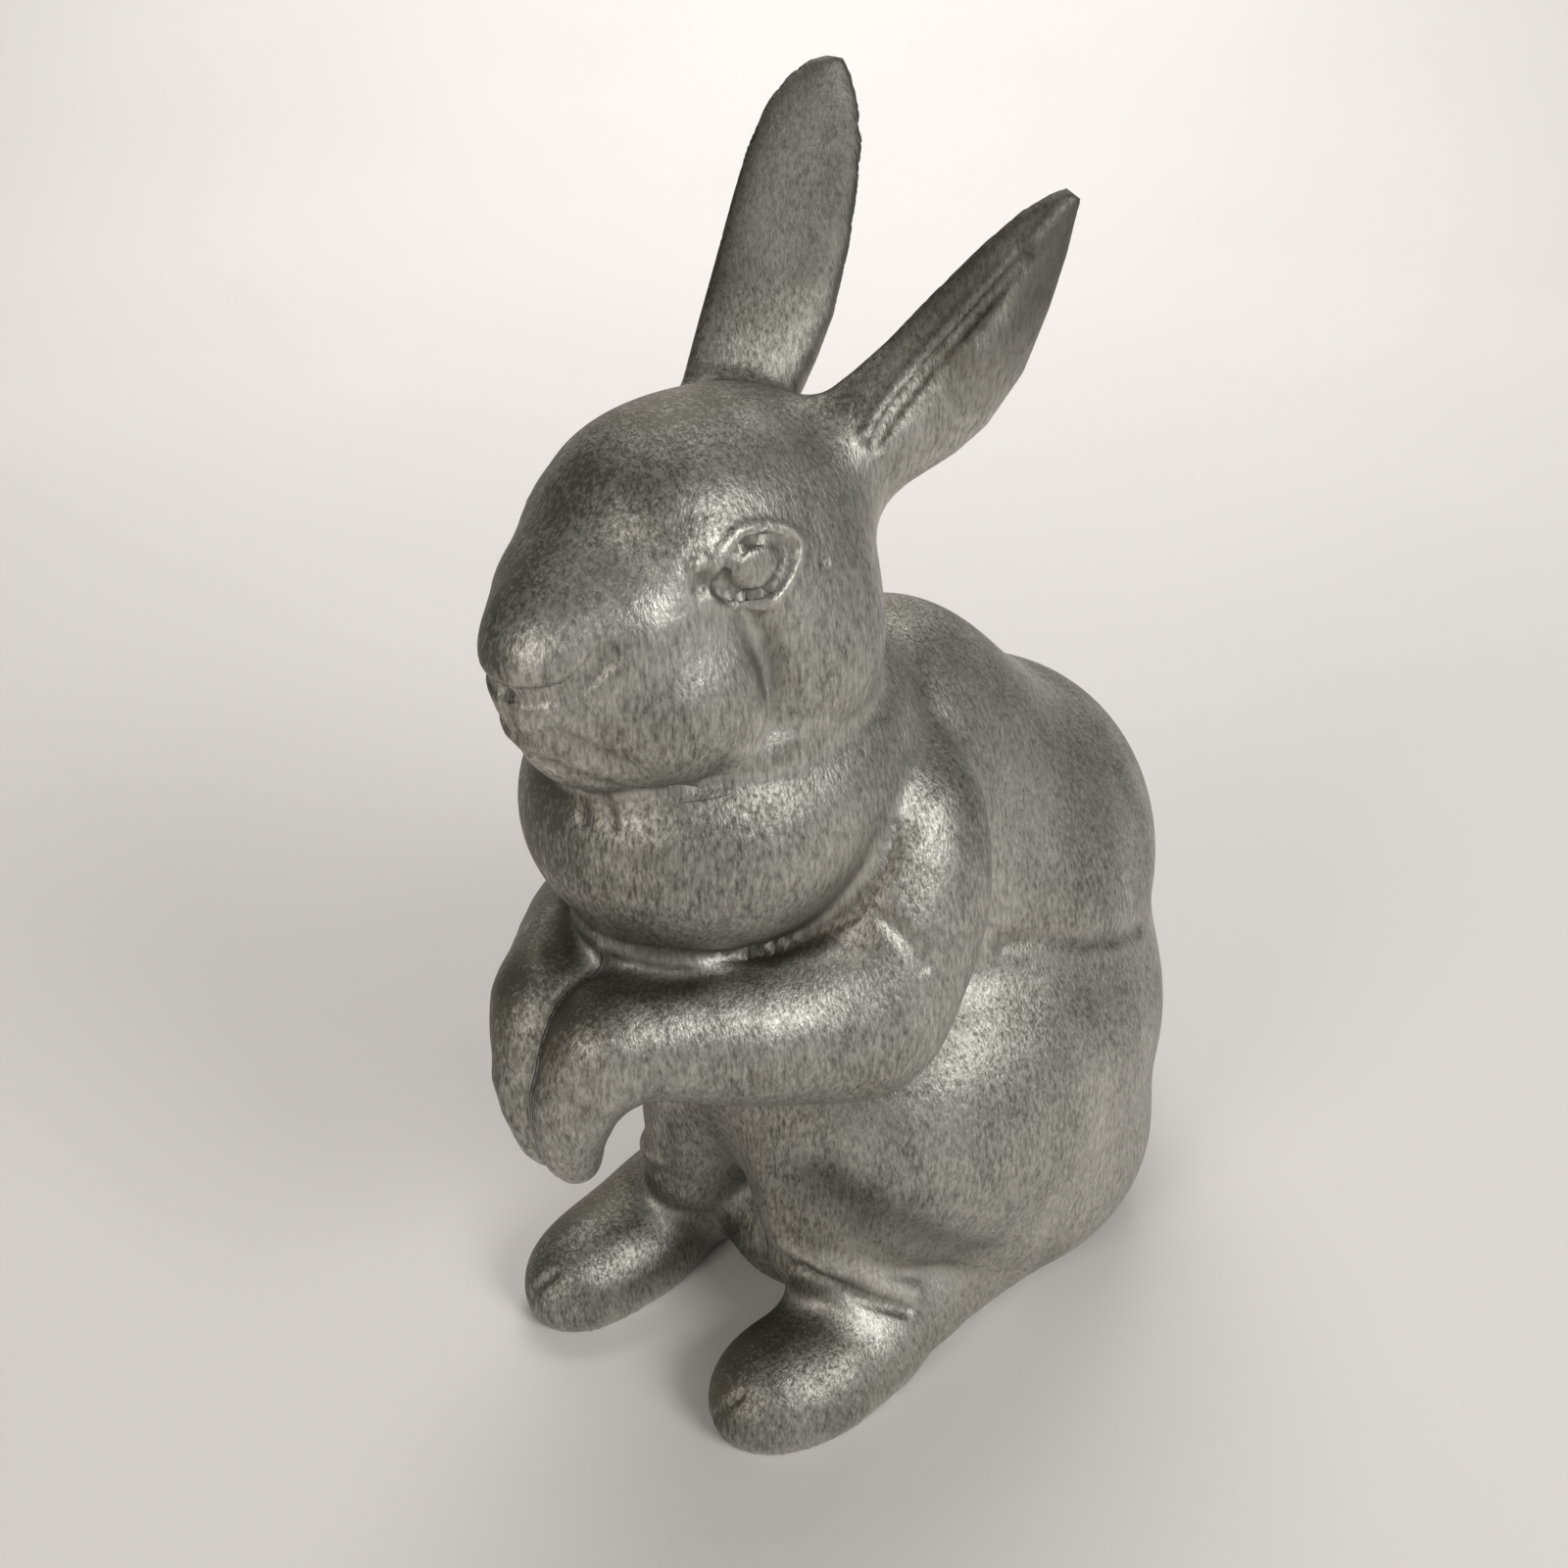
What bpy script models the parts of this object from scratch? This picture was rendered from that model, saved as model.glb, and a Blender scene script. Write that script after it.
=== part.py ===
"""Seated rabbit garden figure, cast in aluminium as ten castings on hidden dowels.

The outer form is one continuous set of clay-like masses.  It is meshed once and
then parted along planes that lie in natural creases: the jowl, the ear roots,
the wrists, the ankles, the tail root and the median plane of the trunk.
Lengths are in millimetres until a mesh is made; x is the rabbit's left,
-y is forward, z is up.
"""

import bmesh
import bpy
import numpy as np
from mathutils import Matrix, Vector

MM = 0.001            # metres per millimetre
CELL = 3.0            # edge of one sampling cell
VOXEL = 2.0           # voxel of the even mesh that the surface is pulled onto
SKIN_RATIO = 0.055    # share of the even faces kept on the outer skin
EAR_VOXEL = 1.2       # finer voxel for the thin ear blades
EAR_RATIO = 0.045
CORE_RATIO = 0.018    # share kept on the inner, cast-rough surfaces
CLEARANCE = 0.3       # gap between neighbouring pieces
SOLE = 0.4            # everything below this height is ground flat
WALL = 5.6            # wall of the hollow trunk
MOUTH_RADIUS = 22.0   # core opening in the underside of the trunk
MOUTH_PLACE = (0.0, 42.0, 6.0)
FIELD_BOX = ((-82.0, -114.0, -5.0), (82.0, 158.0, 346.0))

NECK_POINT = (0.0, -70.0, 203.0)
NECK_RISE = 0.12      # slope of the jowl parting plane
WRIST_Y = -71.0
WRIST_BAND = (92.0, 154.5)
ANKLE_SLOPE = -0.8    # ankle plane: z = slope * y
ANKLE_INNER = 15.0    # inner side of the ankle cut
TAIL_Y = 134.0

EAR_L = {
    "base": (20.0, -9.2, 262.9),
    "tip": (41.4, 31.4, 315.2),
    "across": (-0.36, -0.72, 0.55),
    "side": 1.0,
    "at": (-0.3, 0.0, 0.17, 0.3, 0.5, 0.7, 0.85, 0.95, 1.0, 1.1),
    "front": (22.0, 17.0, 13.5, 11.6, 10.3, 8.8, 6.8, 3.8, 1.2, -3.0),
    "rear": (9.0, 13.5, 19.0, 21.2, 19.8, 13.8, 8.2, 3.6, 1.2, -3.0),
}
EAR_R = {
    "base": (-16.0, -11.0, 268.0),
    "tip": (-24.0, 30.6, 336.0),
    "across": (-0.6, -0.75, 0.2),
    "side": -1.0,
    "at": (-0.3, 0.0, 0.16, 0.3, 0.5, 0.66, 0.8, 0.9, 0.96, 1.0, 1.1),
    "front": (13.0, 14.5, 14.7, 14.7, 14.8, 14.6, 13.0, 9.6, 6.0, 1.2, -3.0),
    "rear": (10.0, 12.0, 14.0, 15.0, 14.2, 12.5, 10.5, 7.2, 4.3, 1.2, -3.0),
}
EAR_ROOT = 0.14       # parting plane of an ear, as a share of its length
EAR_BOX = (27.0, 17.0)

EYE_CENTRE = (29.6, -55.8, 253.2)
EYE_FACING = (0.83, -0.50, 0.25)


# ------------------------------------------------------------- distance fields

def blend(a, b, reach):
    """Union of two fields with a fillet of the given reach."""
    h = np.maximum(reach - np.abs(a - b), 0.0) / reach
    return np.minimum(a, b) - h * h * reach * 0.25


def carve(a, b, reach):
    """Intersection of two fields with a rounded edge."""
    return -blend(-a, -b, reach)


def turn(degrees):
    """Rotation matrix for x, y, z angles in degrees."""
    x, y, z = (Matrix.Rotation(np.radians(a), 3, n) for a, n in zip(degrees, "XYZ"))
    return np.array(z @ y @ x)


def egg(p, centre, radii, tilt=(0.0, 0.0, 0.0)):
    """Ellipsoid."""
    q = (p - np.array(centre)) @ turn(tilt)
    r = np.array(radii)
    k0 = np.sqrt(((q / r) ** 2).sum(1))
    k1 = np.sqrt(((q / r ** 2) ** 2).sum(1)) + 1e-9
    return k0 * (k0 - 1.0) / k1


def spline(points, steps):
    """Smooth curve through the given points, sampled evenly."""
    p = np.array(points, float)
    p = np.vstack([2 * p[0] - p[1], p, 2 * p[-1] - p[-2]])
    out = []
    for t in np.linspace(0.0, len(p) - 3.0, steps + 1):
        i = min(int(t), len(p) - 4)
        u = t - i
        a, b, c, d = p[i:i + 4]
        cubic = -a + 3 * b - 3 * c + d
        out.append(0.5 * (2 * b + (c - a) * u + (2 * a - 5 * b + 4 * c - d) * u * u + cubic * u ** 3))
    return np.array(out)


def along(p, a, b):
    """Distance to the segment a-b and the position along it."""
    ab = b - a
    q = p - a
    h = np.clip(q @ ab / (ab @ ab), 0.0, 1.0)
    return np.sqrt(((q - h[:, None] * ab) ** 2).sum(1)), h


def limb(p, stations, steps, reach):
    """Tube of changing radius through (x, y, z, radius) stations."""
    line = spline(stations, steps)
    field = None
    for a, b in zip(line[:-1], line[1:]):
        d, h = along(p, a[:3], b[:3])
        d = d - (a[3] + h * (b[3] - a[3]))
        field = d if field is None else blend(field, d, reach)
    return field


def crease(p, points, depth, width):
    """Soft groove that follows a line lying on the surface."""
    line = spline(points, 2 * len(points))
    nearest = np.min([along(p, a, b)[0] for a, b in zip(line[:-1], line[1:])], axis=0)
    return depth * np.exp(-(nearest / width) ** 2)


def fold_sides(p, softness):
    """Map both sides of the median plane onto the left side."""
    q = p.copy()
    q[:, 0] = np.sqrt(p[:, 0] ** 2 + softness)
    return q


# ------------------------------------------------------------------- the masses

def torso(p):
    """Back, rump, belly and haunches."""
    q = fold_sides(p, 4.0)
    d = egg(p, (0, 56, 107.5), (58, 72.5, 68), (8, 0, 0))
    d = blend(d, egg(p, (0, 74, 54), (54.5, 57, 57)), 20)
    d = blend(d, egg(p, (0, 14, 164), (39, 50, 45), (20, 0, 0)), 28)
    d = blend(d, egg(p, (0, -16, 118), (34, 38, 48)), 14)
    d = blend(d, egg(p, (0, 12, 22), (34, 42, 34)), 10)
    d = blend(d, egg(p, (0, -11, 80), (22, 31, 30)), 10)
    haunch = egg(q, (33, 42, 66), (40, 72, 57), (-4, 0, 4))
    haunch = blend(haunch, egg(q, (41, 52, 26), (31, 48, 30)), 16)
    haunch = blend(haunch, egg(q, (17, -11, 82), (20, 33, 42)), 30)
    return blend(d, haunch, 7)


def trunk(p):
    """Torso with the lower legs and the tail."""
    q = fold_sides(p, 4.0)
    shin = [(18, -21, 62, 16), (25, -26, 38, 15), (34, -14, 18, 14), (42, 10, 12, 12), (44, 40, 12, 14)]
    d = blend(torso(p), limb(q, shin, 8, 3), 9)
    return blend(d, egg(p, (0, 135, 44), (15, 15, 19)), 5)


def hind_feet(p):
    """Long feet, both toes turned slightly to the right and the right one further forward."""
    q = fold_sides(p, 0.0)
    right = p[:, 0] < 0.0
    q[:, 1] += np.where(right, 6.5, 0.0) * np.clip(-q[:, 1] / 70.0, 0.0, 1.0)
    toe = q + np.where(right, -3.5, 3.5)[:, None] * (1.0, 0.0, 0.0)
    d = egg(q, (36.5, -38, 8), (19.5, 30, 18.5))
    d = blend(d, egg(toe, (34.5, -56, 7), (15, 17.5, 16.5)), 8)
    return blend(d, limb(q, [(42, 30, 8, 12), (41, -20, 9, 15)], 3, 3), 10)


def forelegs(p):
    """Upper arms, forearms held forward and hanging paws."""
    q = fold_sides(p, 0.25)
    upper = limb(q, [(30, -8, 172, 22.5), (35, -16, 152, 24), (36.5, -28, 132, 23)], 6, 4)
    fore = limb(q, [(35.5, -32, 130, 22), (26, -56, 134, 19), (15, -77, 138, 14.5), (10, -87, 138, 12.5)], 8, 4)
    paw = limb(q, [(10, -87, 138, 12.5), (7.2, -95, 124, 10), (5, -96, 110, 7), (4.5, -94.5, 103, 5.5)], 6, 3)
    return blend(upper, blend(fore, paw, 6), 10)


def chest(p):
    """Dewlap and the front of the neck."""
    d = blend(egg(p, (0, -42, 184), (43, 46, 37)), egg(p, (0, -18, 190), (36, 34, 36)), 16)
    return blend(d, egg(p, (0, -58, 148), (20, 20, 18)), 12)


def skull(p):
    """Cranium, jowls, muzzle, whisker pads, chin and brows."""
    q = fold_sides(p, 0.5)
    d = egg(p, (0, -35, 249), (31, 34, 30))
    d = blend(d, egg(p, (0, -55, 252), (28, 25, 25)), 12)
    d = blend(d, egg(q, (19, -34, 223), (19, 25, 28)), 14)
    d = blend(d, egg(p, (0, -75, 238), (20, 23, 19.5)), 10)
    d = blend(d, egg(p, (0, -86, 234), (14.5, 15, 14.5)), 6)
    d = blend(d, egg(q, (24, -47, 209), (11, 17, 8)), 6)
    d = blend(d, egg(q, (14, -70, 241), (11.5, 15, 12.5)), 9)
    d = blend(d, egg(q, (13, -65, 224), (19.5, 23.5, 22), (0, 0, -10)), 5)
    d = blend(d, egg(p, (0, -86, 222), (13, 12, 11)), 4)
    d = blend(d, egg(p, (0, -72, 213), (19, 20, 13)), 5)
    d = blend(d, egg(q, (21, -61, 254), (5, 11, 6), (0, 25, -15)), 7)
    pad = [(24.5, -66, 252), (27, -62, 249), (29, -57, 241), (29.6, -54.5, 232), (29.3, -54.6, 224.5), (27, -56, 216)]
    nose = [(0, -101.6, 231.5), (7.2, -100.1, 231.5), (11.7, -97.4, 233.1), (16.3, -92.2, 236.8), (18, -88.1, 241)]
    d = d + crease(q, pad, 2.6, 3.2) + crease(q, nose, 1.7, 2.2)
    return eye(q, d)


def eye(q, d):
    """Almond eyeball inside a raised lid."""
    facing = np.array(EYE_FACING) / np.linalg.norm(EYE_FACING)
    long_axis = np.array((0.2, 0.72, 0.22))
    long_axis = long_axis - facing * (long_axis @ facing)
    long_axis /= np.linalg.norm(long_axis)
    r = q - np.array(EYE_CENTRE)
    u = r @ long_axis
    v = r @ np.cross(long_axis, facing)
    w = r @ facing
    ring = np.sqrt((u / 7.7) ** 2 + (v / (6.0 - 0.16 * np.clip(np.abs(u), 0, 12))) ** 2)
    near = np.exp(-(w / 9.0) ** 2)
    d = d + 1.3 * np.exp(-((ring - 1.0) / 0.22) ** 2) * near
    return d - 1.2 * np.exp(-((ring - 1.4) / 0.25) ** 2) * near


def ear_axes(ear):
    """Root, lengthwise, crosswise and facing directions of an ear, and its length."""
    root = np.array(ear["base"])
    lengthwise = np.array(ear["tip"]) - root
    length = np.linalg.norm(lengthwise)
    lengthwise /= length
    across = np.array(ear["across"])
    across = across - lengthwise * (across @ lengthwise)
    across /= np.linalg.norm(across)
    return root, lengthwise, across, np.cross(across, lengthwise) * ear["side"], length


def ear_blade(p, ear):
    """Leaf-shaped blade, dished on the side it opens to."""
    root, lengthwise, across, facing, length = ear_axes(ear)
    q = p - root
    s = (q @ lengthwise) / length
    front = np.interp(s, ear["at"], ear["front"])
    rear = np.interp(s, ear["at"], ear["rear"])
    half = 0.5 * (front + rear)
    u = q @ across - 0.5 * (front - rear)
    thick = np.interp(s, (-0.3, 0.0, 0.3, 0.7, 1.05), (9.0, 8.0, 6.0, 4.2, 2.2))
    v = q @ facing - u * u / 80.0 + 1.0
    wide = np.maximum(half, 0.8)
    k0 = np.sqrt((u / wide) ** 2 + (v / thick) ** 2)
    k1 = np.sqrt((u / wide ** 2) ** 2 + (v / thick ** 2) ** 2) + 1e-6
    d = k0 * (k0 - 1.0) / k1 + np.where(half < 0.8, (0.8 - half) * 1.5, 0.0)
    return 0.8 * carve(d, (-s - 0.15) * length, 4.0)


def rabbit(p):
    """The whole outer form on flat ground."""
    d = blend(trunk(p), hind_feet(p), 10)
    d = blend(d, forelegs(p), 5)
    d = blend(d, chest(p), 5)
    ears = np.minimum(ear_blade(p, EAR_L), ear_blade(p, EAR_R))
    d = blend(d, blend(skull(p), ears, 7), 4)
    return np.maximum(d, -p[:, 2])


def ears_only(p):
    """The ears with a short stub of the skull under them."""
    return np.maximum(rabbit(p), 252.0 - p[:, 2])


def trunk_core(p):
    """Hollow of the trunk: the main masses set in by the wall, closed below the neck."""
    d = blend(torso(p), egg(p, (0, -42, 184), (43, 46, 37)), 12) + WALL
    d = carve(d, p[:, 2] - 186.0, 6)
    return carve(d, WALL - p[:, 2], 6)


# ---------------------------------------------------------------------- meshing

def sample(field, low, high):
    """Closed quad mesh near field = 0, with one point in each crossed cell."""
    axes = [np.arange(a, b + CELL, CELL) for a, b in zip(low, high)]
    grid = np.stack(np.meshgrid(*axes, indexing="ij"), -1).reshape(-1, 3)
    value = np.concatenate([field(part) for part in np.array_split(grid, 24)])
    value = value.reshape([len(a) for a in axes])
    inside = value < 0.0
    total = np.zeros(tuple(n - 1 for n in inside.shape) + (3,))
    count = np.zeros(total.shape[:3])
    crossings = []
    for axis in range(3):
        a = np.moveaxis(value, axis, 0)
        flip = np.moveaxis(inside, axis, 0)
        cut = flip[:-1] != flip[1:]
        where = np.argwhere(np.moveaxis(cut, 0, axis))
        lower = value[tuple(where.T)]
        step = np.eye(3, dtype=int)[axis]
        upper = value[tuple((where + step).T)]
        point = where + step * (lower / (lower - upper))[:, None]
        crossings.append((axis, where, lower < 0.0))
        b, c = [k for k in range(3) if k != axis]
        for db in (0, 1):
            for dc in (0, 1):
                cell = where.copy()
                cell[:, b] -= db
                cell[:, c] -= dc
                np.add.at(total, tuple(cell.T), point)
                np.add.at(count, tuple(cell.T), 1.0)
    used = np.argwhere(count > 0)
    index = np.full(count.shape, -1)
    index[tuple(used.T)] = np.arange(len(used))
    verts = np.array(low) + CELL * total[tuple(used.T)] / count[tuple(used.T)][:, None]
    faces = []
    for axis, where, outward in crossings:
        b, c = (axis + 1) % 3, (axis + 2) % 3
        ring = []
        for db, dc in ((0, 0), (1, 0), (1, 1), (0, 1)):
            cell = where.copy()
            cell[:, b] -= db
            cell[:, c] -= dc
            ring.append(index[tuple(cell.T)])
        quad = np.stack(ring, 1)
        quad[~outward] = quad[~outward][:, ::-1]
        faces.append(quad)
    return verts, np.concatenate(faces)


def slope(field, p):
    """Unit gradient of a field."""
    g = np.stack([field(p + e) - field(p - e) for e in 0.4 * np.eye(3)], 1)
    return g / (np.linalg.norm(g, axis=1)[:, None] + 1e-9)


def cast_surface(name, field, low, high, ratio, voxel=VOXEL):
    """Closed surface of a field: sampled, remeshed evenly, pulled onto it and thinned."""
    obj = make_object(name, *sample(field, low, high))
    mod = obj.modifiers.new("Remesh", "REMESH")
    mod.mode = "VOXEL"
    mod.voxel_size = voxel * MM
    bake(obj)
    points = np.array([v.co for v in obj.data.vertices]) / MM
    for _ in range(3):
        points -= np.clip(field(points), -1.0, 1.0)[:, None] * slope(field, points)
    obj.data.vertices.foreach_set("co", (points * MM).ravel())
    obj.data.update()
    mod = obj.modifiers.new("Decimate", "DECIMATE")
    mod.ratio = ratio
    bake(obj)
    for vert in obj.data.vertices:
        if vert.co.z < SOLE * MM:
            vert.co.z = 0.0
    return obj


def make_object(name, verts, faces):
    mesh = bpy.data.meshes.new(name)
    mesh.from_pydata((np.asarray(verts) * MM).tolist(), [], np.asarray(faces).tolist())
    mesh.validate()
    obj = bpy.data.objects.new(name, mesh)
    bpy.context.collection.objects.link(obj)
    return obj


def bake(obj):
    """Replace the mesh by the result of its modifiers."""
    graph = bpy.context.evaluated_depsgraph_get()
    mesh = bpy.data.meshes.new_from_object(obj.evaluated_get(graph))
    obj.modifiers.clear()
    obj.data = mesh


def combine(obj, tool, operation):
    """Boolean of obj with one tool; the cuts graze folds, which needs the manifold solver."""
    mod = obj.modifiers.new(operation.title(), "BOOLEAN")
    mod.operation = operation
    mod.solver = "MANIFOLD"
    mod.object = tool
    bake(obj)


def tidy(obj):
    """Weld cut edges, drop slivers and keep the largest connected body."""
    bm = bmesh.new()
    bm.from_mesh(obj.data)
    bmesh.ops.remove_doubles(bm, verts=bm.verts, dist=0.00002)
    bmesh.ops.dissolve_degenerate(bm, edges=bm.edges, dist=0.00002)
    bmesh.ops.triangulate(bm, faces=bm.faces)
    left = set(bm.verts)
    groups = []
    while left:
        stack = [left.pop()]
        group = set(stack)
        while stack:
            for edge in stack.pop().link_edges:
                for vert in edge.verts:
                    if vert in left:
                        left.discard(vert)
                        group.add(vert)
                        stack.append(vert)
        groups.append(group)
    main = max(groups, key=len)
    loose = [v for v in bm.verts if v not in main]
    bmesh.ops.delete(bm, geom=loose, context="VERTS")
    bmesh.ops.recalc_face_normals(bm, faces=bm.faces)
    bm.to_mesh(obj.data)
    bm.free()
    smooth(obj)


def smooth(obj):
    obj.data.shade_smooth()
    obj.data.set_sharp_from_angle(angle=np.radians(40.0))


def copy_of(obj, name):
    twin = obj.copy()
    twin.data = obj.data.copy()
    twin.name = name
    bpy.context.collection.objects.link(twin)
    return twin


# ---------------------------------------------------------------- parting tools

def block(name, centre, half, columns=None):
    """Box cutter with half sizes along the given column directions."""
    bm = bmesh.new()
    bmesh.ops.create_cube(bm, size=2.0)
    frame = Matrix(np.eye(3) if columns is None else np.array(columns).T).to_4x4()
    size = Matrix.Diagonal(Vector([h * MM for h in half] + [1.0]))
    bm.transform(Matrix.Translation(Vector(centre) * MM) @ frame @ size)
    mesh = bpy.data.meshes.new(name)
    bm.to_mesh(mesh)
    bm.free()
    obj = bpy.data.objects.new(name, mesh)
    bpy.context.collection.objects.link(obj)
    obj.hide_render = True
    obj.display_type = "WIRE"
    return obj


def rod(name, centre, axis, radius, length, sides=12, bore=0.0):
    """Straight dowel, or a tube when a bore is given."""
    bm = bmesh.new()
    turned = Vector(axis).to_track_quat("Z", "Y").to_matrix().to_4x4()
    place = Matrix.Translation(Vector(centre) * MM) @ turned
    bmesh.ops.create_cone(bm, cap_ends=True, segments=sides, radius1=radius * MM,
                          radius2=radius * MM, depth=length * MM, matrix=place)
    mesh = bpy.data.meshes.new(name)
    bm.to_mesh(mesh)
    bm.free()
    obj = bpy.data.objects.new(name, mesh)
    bpy.context.collection.objects.link(obj)
    if bore:
        drill = rod(name + "_bore", centre, axis, bore, length + 4.0, sides)
        combine(obj, drill, "DIFFERENCE")
        bpy.data.objects.remove(drill)
    return obj


def drill_for(dowel_spec, pieces):
    """Blind holes for one dowel in the pieces it joins."""
    name, centre, axis, radius, length = dowel_spec
    tool = rod(name + "_hole", centre, axis, radius + CLEARANCE, length + 2.0 * CLEARANCE)
    for piece in pieces:
        combine(piece, tool, "DIFFERENCE")
    bpy.data.objects.remove(tool)


def neck_block(shift):
    """Everything above the jowl plane, moved along its normal."""
    normal = np.array((0.0, -NECK_RISE, 1.0))
    normal /= np.linalg.norm(normal)
    side = np.array((1.0, 0.0, 0.0))
    front = np.cross(normal, side)
    centre = np.array(NECK_POINT) + normal * (200.0 + shift)
    return block("neck_block", centre, (200, 200, 200), (side, front, normal))


def ear_block(ear, shift):
    """Box that holds one ear beyond its root plane."""
    root, lengthwise, across, facing, length = ear_axes(ear)
    start = root + lengthwise * (EAR_ROOT * length + shift)
    right = np.cross(lengthwise, across)
    return block("ear_block", start + lengthwise * 50.0, (EAR_BOX[0], EAR_BOX[1], 50.0),
                 (across, right, lengthwise))


def wrist_block(side, shift):
    low, high = WRIST_BAND
    inner = 0.5 * CLEARANCE
    return block("wrist_block", (side * (25.0 + inner), WRIST_Y - 40.0 - shift, 0.5 * (low + high)),
                 (25.0, 40.0, 0.5 * (high - low)))


def ankle_block(side, shift):
    """Wedge under the sloping ankle plane, open towards the toes."""
    normal = np.array((0.0, ANKLE_SLOPE, -1.0))
    normal /= np.linalg.norm(normal)
    across = np.array((1.0, 0.0, 0.0))
    down = np.cross(normal, across)
    centre = np.array((side * (ANKLE_INNER + 35.0 + shift), 0.0, 0.0)) + normal * (60.0 + shift)
    return block("ankle_block", centre, (35.0, 90.0, 60.0), (across, down, normal))


def tail_block(shift):
    return block("tail_block", (0.0, TAIL_Y + 20.0 + shift, 44.0), (30.0, 20.0, 30.0))


def take(form, name, tool):
    """Piece of the form inside one tool."""
    piece = copy_of(form, name)
    combine(piece, tool, "INTERSECT")
    bpy.data.objects.remove(tool)
    return piece


def drop(piece, tool):
    combine(piece, tool, "DIFFERENCE")
    bpy.data.objects.remove(tool)


def wall_point(start, angle):
    """Point in the middle of the trunk wall, on the median plane."""
    direction = np.array((0.0, np.cos(np.radians(angle)), np.sin(np.radians(angle))))
    p = np.array([start], float)
    for _ in range(200):
        p = p + direction * 0.5
        if trunk_core(p)[0] > 0.5 * WALL:
            break
    return tuple(np.round(p[0], 2))


# --------------------------------------------------------------------- materials

def metal(name, colour, roughness):
    mat = bpy.data.materials.new(name)
    mat.use_nodes = True
    shader = mat.node_tree.nodes["Principled BSDF"]
    shader.inputs["Base Color"].default_value = (*colour, 1.0)
    shader.inputs["Metallic"].default_value = 1.0
    shader.inputs["Roughness"].default_value = roughness
    return mat


def main():
    for obj in list(bpy.data.objects):
        bpy.data.objects.remove(obj)

    form = cast_surface("form", rabbit, *FIELD_BOX, SKIN_RATIO)
    blades = cast_surface("blades", ears_only, (-44, -104, 248), (58, 50, 346), EAR_RATIO, EAR_VOXEL)
    core = cast_surface("core", trunk_core, (-72, -95, 2), (72, 140, 196), CORE_RATIO)

    half_gap = 0.5 * CLEARANCE
    head = take(form, "head", neck_block(half_gap))
    ears = []
    for name, ear in (("ear_left", EAR_L), ("ear_right", EAR_R)):
        ears.append(take(blades, name, ear_block(ear, half_gap)))
        drop(head, ear_block(ear, -half_gap))

    paws = [take(form, "forepaw_left", wrist_block(1, half_gap)),
            take(form, "forepaw_right", wrist_block(-1, half_gap))]
    feet = [take(form, "hind_foot_left", ankle_block(1, half_gap)),
            take(form, "hind_foot_right", ankle_block(-1, half_gap))]
    tail = take(form, "tail", tail_block(half_gap))

    body = copy_of(form, "body")
    drop(body, neck_block(-half_gap))
    low, high = WRIST_BAND
    drop(body, block("wrists", (0, WRIST_Y - 40.0 + half_gap, 0.5 * (low + high)),
                     (60, 40, 0.5 * (high - low))))
    drop(body, ankle_block(1, -half_gap))
    drop(body, ankle_block(-1, -half_gap))
    drop(body, tail_block(-half_gap))
    mouth = rod("mouth", MOUTH_PLACE, (0, 0, 1), MOUTH_RADIUS, 40.0, 24)
    halves = [take(body, "body_left", block("left", (150 + half_gap, 0, 150), (150, 300, 300))),
              take(body, "body_right", block("right", (-150 - half_gap, 0, 150), (150, 300, 300)))]
    for half in halves:
        combine(half, core, "DIFFERENCE")
        combine(half, mouth, "DIFFERENCE")
    bpy.data.objects.remove(mouth)

    dowels = []
    seam = (((0, 50, 100), 75), ((0, 50, 100), 25), ((0, 50, 100), -25), ((0, 50, 100), -68),
            ((0, -40, 165), 190), ((0, 0, 90), 180))
    for number, (start, angle) in enumerate(seam, 1):
        spec = ("seam_dowel_%d" % number, wall_point(start, angle), (1, 0, 0), 1.2, 12.0)
        dowels.append((spec, halves))
    for tag, ear, piece in (("left", EAR_L, ears[0]), ("right", EAR_R, ears[1])):
        root, lengthwise, across, facing, length = ear_axes(ear)
        middle = root + lengthwise * EAR_ROOT * length - facing * 1.0
        for number, offset in ((1, -6.0), (2, 6.0)):
            spec = ("ear_dowel_%s_%d" % (tag, number), middle + across * offset, lengthwise, 2.0, 16.0)
            dowels.append((spec, [piece, head]))
    for tag, side, paw, half in (("left", 1, paws[0], halves[0]), ("right", -1, paws[1], halves[1])):
        spec = ("wrist_dowel_%s" % tag, (side * 17.0, WRIST_Y, 138.0), (side * 0.5, 0.86, 0), 3.0, 20.0)
        dowels.append((spec, [paw, half]))
    ankle_axis = (0.0, -ANKLE_SLOPE, 1.0)
    for tag, side, foot, half in (("left", 1, feet[0], halves[0]), ("right", -1, feet[1], halves[1])):
        for number, (x, y) in ((1, (32.0, -18.0)), (2, (42.0, -12.0))):
            spec = ("ankle_dowel_%s_%d" % (tag, number), (side * x, y, ANKLE_SLOPE * y), ankle_axis, 2.0, 12.0)
            dowels.append((spec, [foot, half]))
    dowels.append((("tail_dowel", (3.0, TAIL_Y, 44.0), (0, 1, 0), 2.0, 12.0), [tail, halves[0]]))

    steel = []
    for spec, pieces in dowels:
        drill_for(spec, pieces)
        steel.append(rod(*spec))
    sleeve = rod("neck_sleeve", (0, -34, 206), (0, 0, 1), 17.0, 46.0, 24, 13.0)
    socket = rod("neck_socket", (0, -34, 206), (0, 0, 1), 17.0 + CLEARANCE, 60.0, 24)
    for piece in halves + [head]:
        combine(piece, socket, "DIFFERENCE")
    for obj in (form, blades, core, body, socket):
        bpy.data.objects.remove(obj)

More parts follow.
